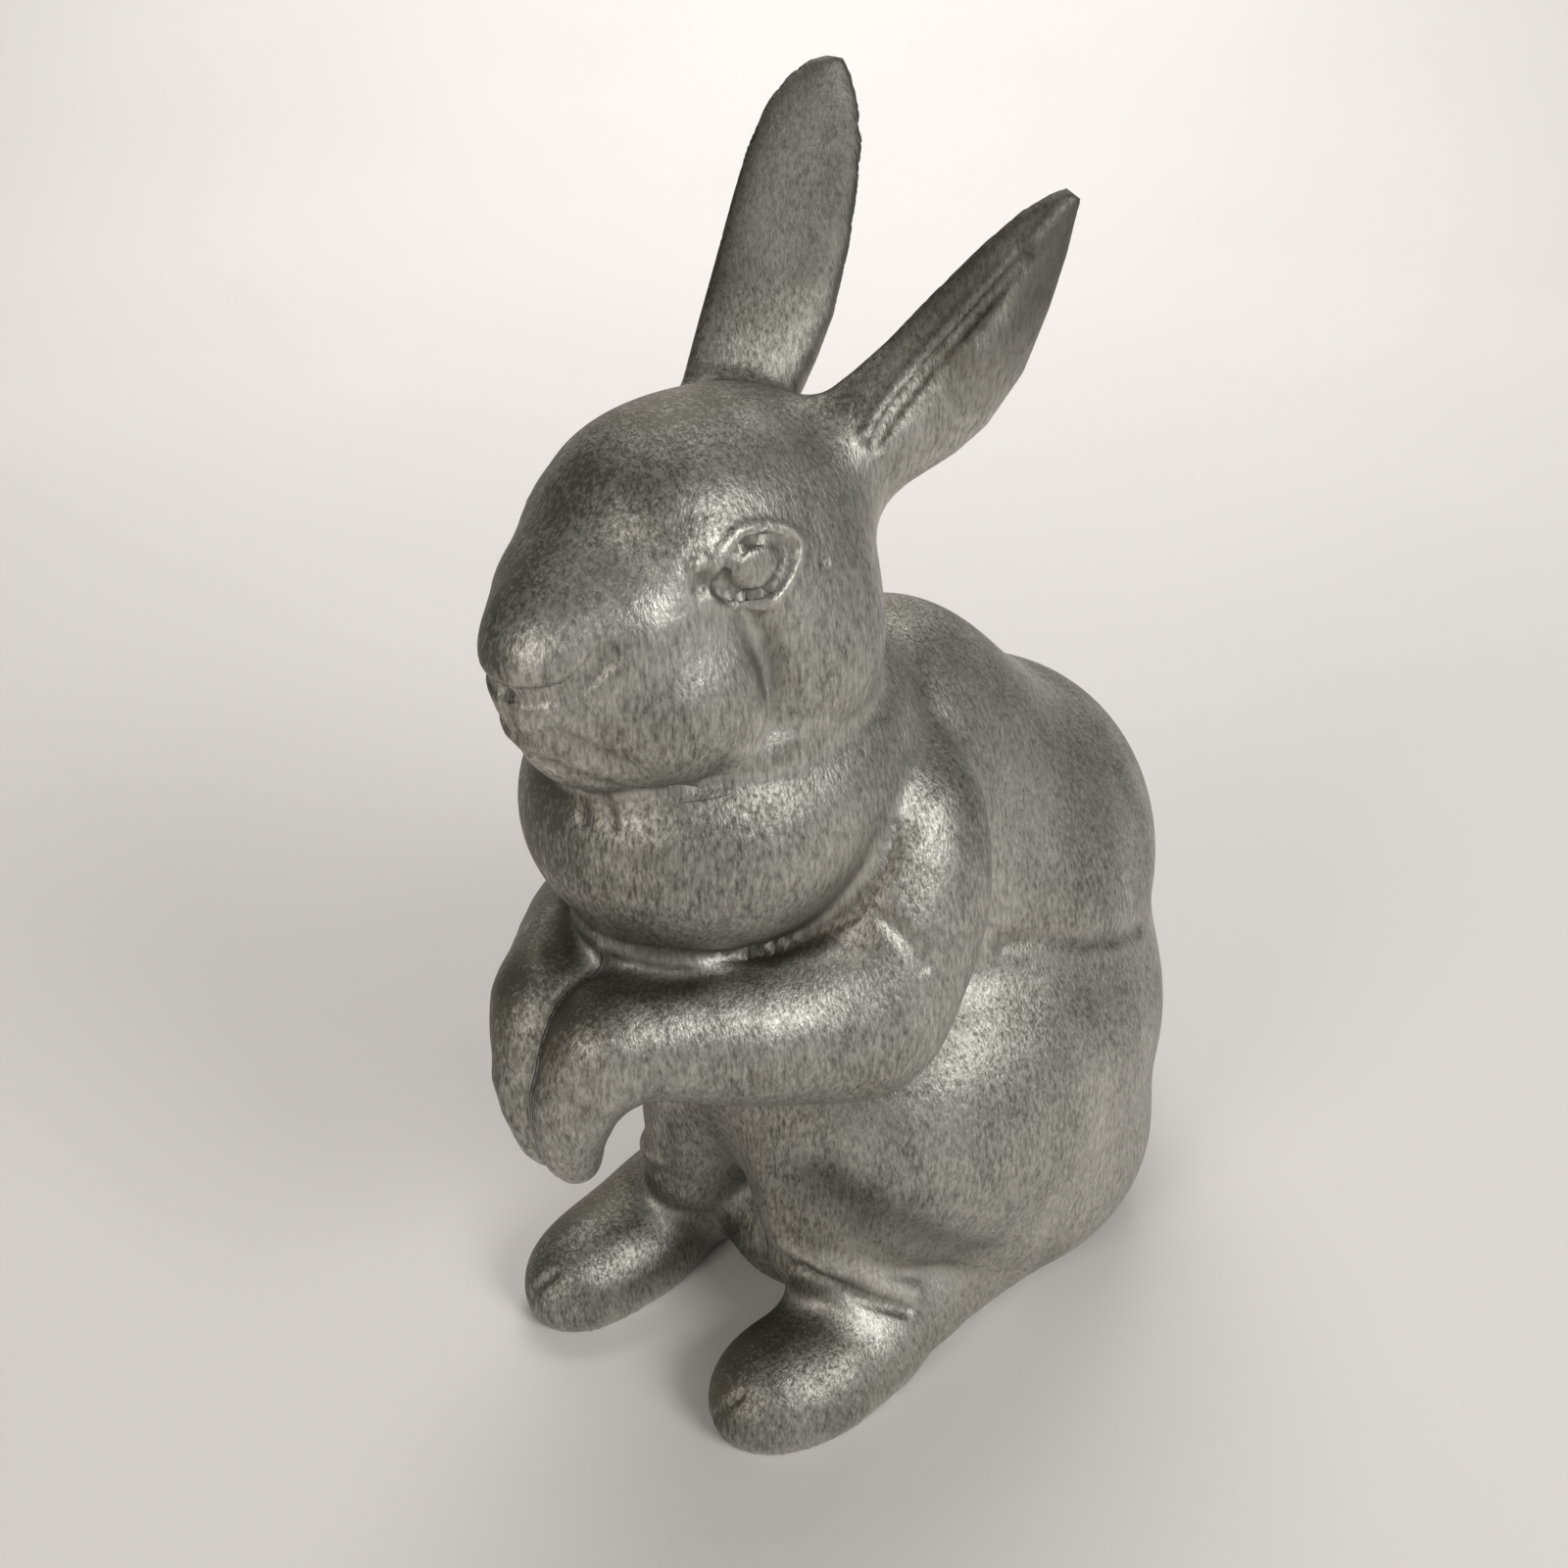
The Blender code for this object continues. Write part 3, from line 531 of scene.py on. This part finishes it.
def rod(name, centre, axis, radius, length, sides):
    """Round cutter."""
    bm = bmesh.new()
    turned = Vector(axis).to_track_quat("Z", "Y").to_matrix().to_4x4()
    place = Matrix.Translation(Vector(centre) * MM) @ turned
    bmesh.ops.create_cone(bm, cap_ends=True, segments=sides, radius1=radius * MM,
                          radius2=radius * MM, depth=length * MM, matrix=place)
    mesh = bpy.data.meshes.new(name)
    bm.to_mesh(mesh)
    bm.free()
    obj = bpy.data.objects.new(name, mesh)
    bpy.context.collection.objects.link(obj)
    return obj


def neck_block():
    """Everything above the jowl plane."""
    normal = np.array((0.0, -NECK_RISE, 1.0))
    normal /= np.linalg.norm(normal)
    side = np.array((1.0, 0.0, 0.0))
    front = np.cross(normal, side)
    half = 200.0
    centre = np.array(NECK_POINT) + normal * half
    return block("neck_block", centre, (half, half, half), (side, front, normal))


def ear_block(ear):
    """Box that holds one ear beyond its root plane."""
    root, lengthwise, across, facing, length = ear_axes(ear)
    start = root + lengthwise * (EAR_ROOT * length)
    right = np.cross(lengthwise, across)
    half = 50.0
    return block("ear_block", start + lengthwise * half, (*EAR_BOX, half), (across, right, lengthwise))


def wrist_block(name, x, half_width):
    """Box in front of the wrist plane, over the height of the paws."""
    low, high = WRIST_BAND
    half_depth = 40.0
    return block(name, (x, WRIST_Y - half_depth, 0.5 * (low + high)),
                 (half_width, half_depth, 0.5 * (high - low)))


def ankle_block(side):
    """Wedge under the sloping ankle plane, open towards the toes."""
    normal = np.array((0.0, ANKLE_SLOPE, -1.0))
    normal /= np.linalg.norm(normal)
    across = np.array((1.0, 0.0, 0.0))
    down = np.cross(normal, across)
    half = (35.0, 90.0, 60.0)
    centre = np.array((side * (ANKLE_INNER + half[0]), 0.0, 0.0)) + normal * half[2]
    return block("ankle_block", centre, half, (across, down, normal))


def tail_block():
    """Box behind the tail plane."""
    half_depth = 20.0
    return block("tail_block", (0.0, TAIL_Y + half_depth, 44.0), (30.0, half_depth, 30.0))


def copy_of(obj, name):
    twin = obj.copy()
    twin.data = obj.data.copy()
    twin.name = name
    bpy.context.collection.objects.link(twin)
    return twin


def take(form, name, tool):
    """Piece of the form inside one tool."""
    piece = copy_of(form, name)
    combine(piece, tool, "INTERSECT")
    bpy.data.objects.remove(tool)
    return piece


def drop(piece, tool):
    """Piece without what lies inside one tool."""
    combine(piece, tool, "DIFFERENCE")
    bpy.data.objects.remove(tool)


# --------------------------------------------------------------------- materials

def add(tree, kind, inputs=(), **settings):
    """New shader node with some settings; links or values go to its named inputs."""
    node = tree.nodes.new("ShaderNode" + kind)
    for key, value in settings.items():
        setattr(node, key, value)
    for key, value in dict(inputs).items():
        if isinstance(value, bpy.types.NodeSocket):
            tree.links.new(value, node.inputs[key])
        else:
            node.inputs[key].default_value = value
    return node


def calc(tree, operation, a, b):
    """Result of one arithmetic step on sockets or values."""
    node = add(tree, "Math", operation=operation)
    for socket, value in zip(node.inputs, (a, b)):
        if isinstance(value, bpy.types.NodeSocket):
            tree.links.new(value, socket)
        else:
            socket.default_value = value
    return node.outputs[0]


def noise(tree, coords, scale, detail=2.0, roughness=0.5, distortion=0.0):
    """Noise value at the given coordinates."""
    node = add(tree, "TexNoise", {"Vector": coords, "Scale": scale, "Detail": detail,
                                  "Roughness": roughness, "Distortion": distortion})
    return node.outputs[0]


def remap(tree, value, low, high, to_low=0.0, to_high=1.0):
    """Value carried from one range to another and held inside it."""
    node = add(tree, "MapRange", {"Value": value, "From Min": low, "From Max": high,
                                  "To Min": to_low, "To Max": to_high}, clamp=True)
    return node.outputs[0]


def mix(tree, factor, a, b):
    """Colour between a and b."""
    node = add(tree, "Mix", data_type="RGBA")
    for socket, value in ((node.inputs[0], factor), (node.inputs[6], a), (node.inputs[7], b)):
        if isinstance(value, bpy.types.NodeSocket):
            tree.links.new(value, socket)
        elif isinstance(value, tuple):
            socket.default_value = (*value, 1.0)
        else:
            socket.default_value = value
    return node.outputs[2]


def centred(tree, value):
    """Noise moved to swing about zero."""
    return calc(tree, "SUBTRACT", value, 0.5)


def sum_of(tree, *terms):
    """Weighted sum of sockets."""
    total = 0.0
    for socket, weight in terms:
        total = calc(tree, "ADD", total, calc(tree, "MULTIPLY", socket, weight))
    return total


def new_material(name):
    """Material with its tree, shader and object coordinates."""
    mat = bpy.data.materials.new(name)
    mat.use_nodes = True
    tree = mat.node_tree
    return mat, tree, tree.nodes["Principled BSDF"], add(tree, "TexCoord").outputs["Object"]


def new_metal(name):
    """Bare metal material with its tree, shader and object coordinates."""
    mat, tree, shader, place = new_material(name)
    shader.inputs["Metallic"].default_value = 1.0
    return mat, tree, shader, place


def cast_aluminium():
    """Sand-cast aluminium, brushed, with painted light: painted shade in the folds and towards the ear tips,
    bulges rubbed bright with a painted highlight, and faces towards the key light painted lighter.
    """
    mat, tree, shader, place = new_metal("cast_aluminium")
    brushed = add(tree, "Mapping", {"Vector": place, "Scale": (1.0, 1.0, 0.30)}).outputs[0]

    crown = add(tree, "Attribute", attribute_name="crown").outputs["Fac"]
    hollow = add(tree, "Attribute", attribute_name="hollow").outputs["Fac"]
    facing = add(tree, "SeparateXYZ", {"Vector": add(tree, "NewGeometry").outputs["Normal"]}).outputs

    grain = noise(tree, brushed, 880.0, 3.0, 0.65)
    speck = noise(tree, brushed, 1700.0, 2.0, 0.6)
    patch = noise(tree, brushed, 46.0, 3.0, 0.6)
    cloud = noise(tree, place, 150.0, 3.0, 0.6, 0.3)
    warmth = noise(tree, place, 20.0, 2.0, 0.5)

    fine = sum_of(tree, (grain, 0.62), (speck, 0.38))
    # painted light: faces turned towards the key light (+x) are painted lighter and upward faces darker; the
    # crown share adds rubbed wear together with a painted highlight on the bulges
    side = calc(tree, "SUBTRACT", calc(tree, "MULTIPLY", facing[0], 0.42),
                calc(tree, "MULTIPLY", facing[2], 0.10))
    wear_and_painted_light = sum_of(tree, (crown, 0.62), (side, 1.0), (centred(tree, patch), 1.1),
                  (centred(tree, fine), 2.8), (centred(tree, cloud), 0.35))
    bright = remap(tree, wear_and_painted_light, -0.20, 1.20)

    # olive tint: a random warm tone, plus a painted warm reflection on faces turned away from the key light
    # (-x)
    olive = remap(tree, sum_of(tree, (warmth, 1.0), (facing[0], -0.12)), 0.34, 0.62)
    dull = mix(tree, olive, (0.122, 0.122, 0.102), (0.128, 0.120, 0.092))
    metal = mix(tree, bright, dull, (0.70, 0.695, 0.645))
    # painted shade: folds and the ear tips are darkened towards near-black, with the fine speckle mixed in
    fold_shade_and_speckle = remap(tree, sum_of(tree, (hollow, 1.0), (centred(tree, fine), 0.6)), 0.16, 0.85)
    colour = mix(tree, calc(tree, "MULTIPLY", fold_shade_and_speckle, 0.72), metal, (0.070, 0.065, 0.052))
    tree.links.new(colour, shader.inputs["Base Color"])

    rough = calc(tree, "SUBTRACT", 0.52, calc(tree, "MULTIPLY", bright, 0.14))
    rough = calc(tree, "ADD", rough, calc(tree, "MULTIPLY", fold_shade_and_speckle, 0.12))
    tree.links.new(rough, shader.inputs["Roughness"])

    bump = add(tree, "Bump", {"Height": fine, "Strength": 0.6, "Distance": 0.0005})
    broad = add(tree, "Bump", {"Height": cloud, "Strength": 0.25, "Distance": 0.0007,
                               "Normal": bump.outputs[0]})
    tree.links.new(broad.outputs[0], shader.inputs["Normal"])
    return mat


def turned_steel():
    """Plain turned steel of the hidden dowels."""
    mat, tree, shader, place = new_metal("dowel_steel")
    lines = noise(tree, place, 2400.0, 2.0, 0.5)
    colour = mix(tree, remap(tree, lines, 0.3, 0.7), (0.42, 0.42, 0.43), (0.6, 0.6, 0.61))
    tree.links.new(colour, shader.inputs["Base Color"])
    tree.links.new(remap(tree, lines, 0.3, 0.7, 0.24, 0.4), shader.inputs["Roughness"])
    bump = add(tree, "Bump", {"Height": lines, "Strength": 0.2, "Distance": 0.0001})
    tree.links.new(bump.outputs[0], shader.inputs["Normal"])
    return mat


def paper(name, colour):
    """Matte pale paper of the studio sweep."""
    mat, tree, shader, place = new_material(name)
    tone = remap(tree, noise(tree, place, 3.0, 2.0), 0.3, 0.7)
    darker = tuple(0.97 * c for c in colour)
    tree.links.new(mix(tree, tone, colour, darker), shader.inputs["Base Color"])
    shader.inputs["Roughness"].default_value = 0.85
    return mat


# --------------------------------------------------------------------- castings

def paint_shade_and_wear(obj):
    """Per-point shares that drive the colour: crown, rubbed wear and a painted highlight on bulges; hollow,
    painted shade in folds and towards the ear tips.
    """
    mesh = obj.data
    count = len(mesh.vertices)
    points = np.empty(count * 3)
    mesh.vertices.foreach_get("co", points)
    points = points.reshape(-1, 3) / MM
    outward = slope(rabbit, points)
    out = [rabbit(points + h * outward) / h for h in (3.0, 8.0, 16.0)]
    deep = [-rabbit(points - h * outward) / h for h in (3.0, 8.0)]
    # hollow: painted shade, stronger where the surface is closed in around the point; crown: rubbed wear
    # plus a painted highlight where it bulges
    hollow = np.clip(1.0 - (0.35 * out[0] + 0.35 * out[1] + 0.3 * out[2]), 0.0, 1.0)
    crown = np.clip(1.6 * (1.0 - (0.5 * deep[0] + 0.5 * deep[1])), 0.0, 1.0)
    # painted shade on the ears: darker towards the tips, with little painted highlight left on them
    up_ear = points[:, 2] - EAR_FOOT
    crown *= np.clip((16.0 - up_ear) / 18.0, 0.12, 1.0)
    hollow = np.maximum(hollow, np.clip(up_ear / 40.0, 0.0, 0.8))
    for name, value in (("hollow", hollow), ("crown", crown)):
        layer = mesh.attributes.new(name, "FLOAT", "POINT")
        layer.data.foreach_set("value", value.astype(np.float32))


def finish_casting(obj, nodes, mat):
    """Weld and smooth one casting, give it its painted shade and wear shares, place it, and let it stand for
    its nodes.
    """
    bm = bmesh.new()
    bm.from_mesh(obj.data)
    bmesh.ops.remove_doubles(bm, verts=bm.verts, dist=0.00001)
    bm.to_mesh(obj.data)
    bm.free()
    obj.data.shade_smooth()
    obj.data.set_sharp_from_angle(angle=np.radians(50.0))
    paint_shade_and_wear(obj)
    obj.data.transform(Matrix.Translation(Vector(SHIFT) * MM))
    co = np.empty(len(obj.data.vertices) * 3)
    obj.data.vertices.foreach_get("co", co)
    co = np.clip(co.reshape(-1, 3), np.array(cad_low), np.array(cad_high))
    obj.data.vertices.foreach_set("co", co.ravel())
    obj.data.update()
    obj.data.materials.clear()
    obj.data.materials.append(mat)
    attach(obj, "root")
    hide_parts(*nodes)


def part_castings(form):
    """The ten castings cut from the whole form, with the trunk hollowed out."""
    sides = (("left", 1, EAR_L), ("right", -1, EAR_R))
    core = fine_surface("core", trunk_core, trunk_core, CORE_BOX, CORE_VOXEL)
    pieces = {"head": take(form, "head_skin", neck_block())}
    for tag, _, ear in sides:
        pieces["ear_" + tag] = take(form, "ear_%s_skin" % tag, ear_block(ear))
        drop(pieces["head"], ear_block(ear))
    half_width = 25.0
    for tag, side, _ in sides:
        paw = wrist_block("wrist_block", side * (half_width + 0.5 * CLEARANCE), half_width)
        pieces["forepaw_" + tag] = take(form, "forepaw_%s_skin" % tag, paw)
        pieces["hind_foot_" + tag] = take(form, "hind_foot_%s_skin" % tag, ankle_block(side))
    pieces["tail"] = take(form, "tail_skin", tail_block())
    drop(form, neck_block())
    drop(form, wrist_block("wrists", 0.0, 60.0))
    drop(form, ankle_block(1))
    drop(form, ankle_block(-1))
    drop(form, tail_block())
    combine(form, core, "DIFFERENCE")
    drop(form, rod("mouth", MOUTH_PLACE, (0, 0, 1), MOUTH_RADIUS, 40.0, 64))
    for tag, side, _ in sides:
        half = block("half", (side * 150, 0, 150), (150, 300, 300))
        pieces["body_" + tag] = take(form, "body_%s_skin" % tag, half)
    for obj in (form, core):
        bpy.data.objects.remove(obj)
    return pieces


CASTINGS = ("head", "ear_left", "ear_right", "forepaw_left", "forepaw_right", "hind_foot_left",
            "hind_foot_right", "tail", "body_left", "body_right")

sleeve_low, sleeve_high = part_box("neck_sleeve")
SHIFT = ((sleeve_low[0] + sleeve_high[0]) / (2 * MM),
         (sleeve_low[1] + sleeve_high[1]) / (2 * MM) - SLEEVE_Y,
         0.0)

aluminium = cast_aluminium()
steel = turned_steel()

form = fine_surface("form", rabbit, sculpted, FIELD_BOX, VOXEL)
for node, obj in part_castings(form).items():
    finish_casting(obj, (node,), aluminium)

for node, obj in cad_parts.items():
    if node not in CASTINGS:
        obj.data.materials.clear()
        obj.data.materials.append(steel)


# ------------------------------------------------------------------------ studio

def sweep():
    """Paper floor that curves up into a backdrop behind the figure."""
    bm = bmesh.new()
    azimuth = np.radians(VIEW_AZIMUTH)
    ahead = np.array((-np.sin(azimuth), np.cos(azimuth), 0.0))
    side = np.array((ahead[1], -ahead[0], 0.0))
    up = np.array((0.0, 0.0, 1.0))
    profile = [(FLOOR_NEAR, 0.0), (FLOOR_FAR, 0.0)]
    for a in np.linspace(0.0, 0.5 * np.pi, SWEEP_STEPS + 1)[1:]:
        profile.append((FLOOR_FAR + SWEEP_RADIUS * np.sin(a), SWEEP_RADIUS * (1.0 - np.cos(a))))
    profile.append((FLOOR_FAR + SWEEP_RADIUS, SWEEP_TOP))
    rows = []
    for s, z in profile:
        rows.append([bm.verts.new(ahead * s + side * w + up * z) for w in (-FLOOR_HALF, FLOOR_HALF)])
    for a, b in zip(rows[:-1], rows[1:]):
        bm.faces.new((a[0], a[1], b[1], b[0]))
    mesh = bpy.data.meshes.new("sweep")
    bm.to_mesh(mesh)
    bm.free()
    mesh.shade_smooth()
    obj = bpy.data.objects.new("sweep", mesh)
    bpy.context.collection.objects.link(obj)
    obj.data.materials.append(paper("paper", (0.74, 0.72, 0.70)))
    return obj


def area_light(name, place, target, size, power, colour):
    """Soft light that faces its target."""
    data = bpy.data.lights.new(name, "AREA")
    data.shape = "RECTANGLE"
    data.size, data.size_y = size
    data.energy = power
    data.color = colour
    obj = bpy.data.objects.new(name, data)
    obj.location = place
    obj.rotation_euler = (Vector(target) - Vector(place)).to_track_quat("-Z", "Y").to_euler()
    bpy.context.collection.objects.link(obj)
    return obj


sweep()
area_light("ceiling", (-0.6, 0.5, 1.9), (0.0, 0.1, 0.05), (1.2, 1.2), 6.5, (1.0, 0.99, 0.975))
area_light("key", (1.25, -0.05, 0.95), (0.0, 0.0, 0.15), (0.6, 0.6), 10.5, (1.0, 0.99, 0.98))
area_light("front", (0.1, -1.5, 0.7), (0.0, -0.02, 0.16), (0.5, 0.5), 6.0, (1.0, 0.95, 0.9))
area_light("backdrop", (-0.8, 0.9, 1.7), (-1.5, 1.7, 0.2), (1.2, 1.2), 24.0, (1.0, 0.99, 0.98))

world = bpy.data.worlds.new("studio")
world.use_nodes = True
world.node_tree.nodes["Background"].inputs["Color"].default_value = (0.62, 0.61, 0.60, 1.0)
world.node_tree.nodes["Background"].inputs["Strength"].default_value = 0.36
bpy.context.scene.world = world
bpy.context.scene.view_settings.view_transform = "Standard"

lens = bpy.data.cameras.new("camera")
lens.lens = FOCAL_LENGTH
lens.sensor_width = 36.0
lens.clip_start = 0.01
camera = bpy.data.objects.new("camera", lens)
camera.location = (Vector(VIEW_PLACE) + Vector(SHIFT)) * MM
camera.rotation_euler = (np.radians(90.0 - VIEW_PITCH), 0.0, np.radians(VIEW_AZIMUTH))
bpy.context.collection.objects.link(camera)
bpy.context.scene.camera = camera
